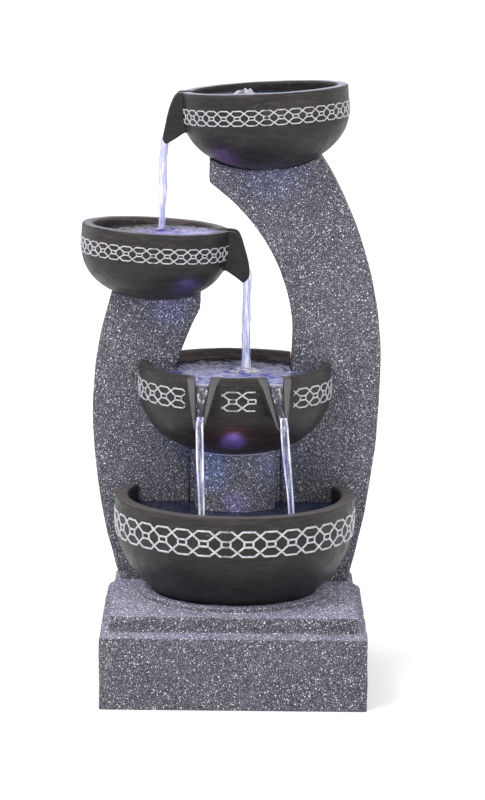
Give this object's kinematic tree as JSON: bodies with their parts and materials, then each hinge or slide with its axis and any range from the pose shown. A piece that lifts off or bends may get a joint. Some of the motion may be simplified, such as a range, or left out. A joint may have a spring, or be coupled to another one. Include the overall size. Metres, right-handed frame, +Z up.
{
  "type": "tiered garden water fountain",
  "caption": "Tiered garden fountain: dark round bowls cascading down curved, speckled granite-look pillars into a front basin on a square stepped plinth, with pump and lamps inside.",
  "frame": {"origin": "middle of the plinth's underside, on the ground", "axes": "+Z up, -Y towards the front (the side with the basin), +X to the right seen from the front"},
  "size_m": [0.3983, 0.3675, 0.7801],
  "materials": {
    "granite_resin": "rough cast resin, grey with white and black speckle",
    "bowl_resin": "dark brown-black satin with silver raised pattern",
    "black_plastic": "matt",
    "lamp_lens": "clear domed lens",
    "rubber": "matt",
    "cable_sheath": "satin sheath",
    "screw_steel": "plain",
    "hose": "soft vinyl hose",
    "shaft_ceramic": "ground ceramic",
    "impeller_plastic": "moulded with magnet core"
  },
  "bodies": {
    "fountain": {"plinth": "granite_resin", "pillar_left": "granite_resin", "pillar_right": "granite_resin", "pedestal": "granite_resin", "basin": "bowl_resin", "bowl_middle": "bowl_resin", "bowl_left": "bowl_resin", "bowl_top": "bowl_resin", "base_plate": "black_plastic", "pump_body": "black_plastic", "pump_volute": "black_plastic", "riser_nozzle": "black_plastic", "lamp_left_body": "black_plastic", "lamp_middle_body": "black_plastic", "lamp_basin_body": "black_plastic", "junction_box": "black_plastic", "cable_gland": "black_plastic", "lamp_left_lens": "lamp_lens", "lamp_middle_lens": "lamp_lens", "lamp_basin_lens": "lamp_lens", "suction_cup_1": "rubber", "suction_cup_2": "rubber", "suction_cup_3": "rubber", "suction_cup_4": "rubber", "cable_left": "cable_sheath", "cable_middle": "cable_sheath", "cable_basin": "cable_sheath", "cable_pump": "cable_sheath", "cable_supply": "cable_sheath", "base_screw_1": "screw_steel", "base_screw_2": "screw_steel", "base_screw_3": "screw_steel", "base_screw_4": "screw_steel", "supply_hose": "hose", "pump_shaft": "shaft_ceramic"},
    "impeller": {"pump_impeller": "impeller_plastic"},
    "regulator": {"pump_regulator": "black_plastic"},
    "strainer": {"pump_strainer": "black_plastic"},
    "door": {"access_door": "black_plastic"},
    "plug": {"drain_plug": "rubber"}
  },
  "joints": [
    {"name": "impeller_spin", "type": "hinge", "parent": "fountain", "child": "impeller", "pos_m": [0, 0.1, 0.1413], "axis": [0, 1, 0], "continuous": true},
    {"name": "regulator_turn", "type": "hinge", "parent": "fountain", "child": "regulator", "pos_m": [0.028, 0.098, 0.1413], "axis": [1, 0, 0], "range_deg": [0, 90]},
    {"name": "strainer_pull", "type": "slide", "parent": "fountain", "child": "strainer", "axis": [0, -1, 0], "range_m": [0, 0.02]},
    {"name": "door_pull", "type": "slide", "parent": "fountain", "child": "door", "axis": [0, 1, 0], "range_m": [0, 0.05]},
    {"name": "plug_pull", "type": "slide", "parent": "fountain", "child": "plug", "axis": [0, 1, 0], "range_m": [0, 0.03]}
  ]
}
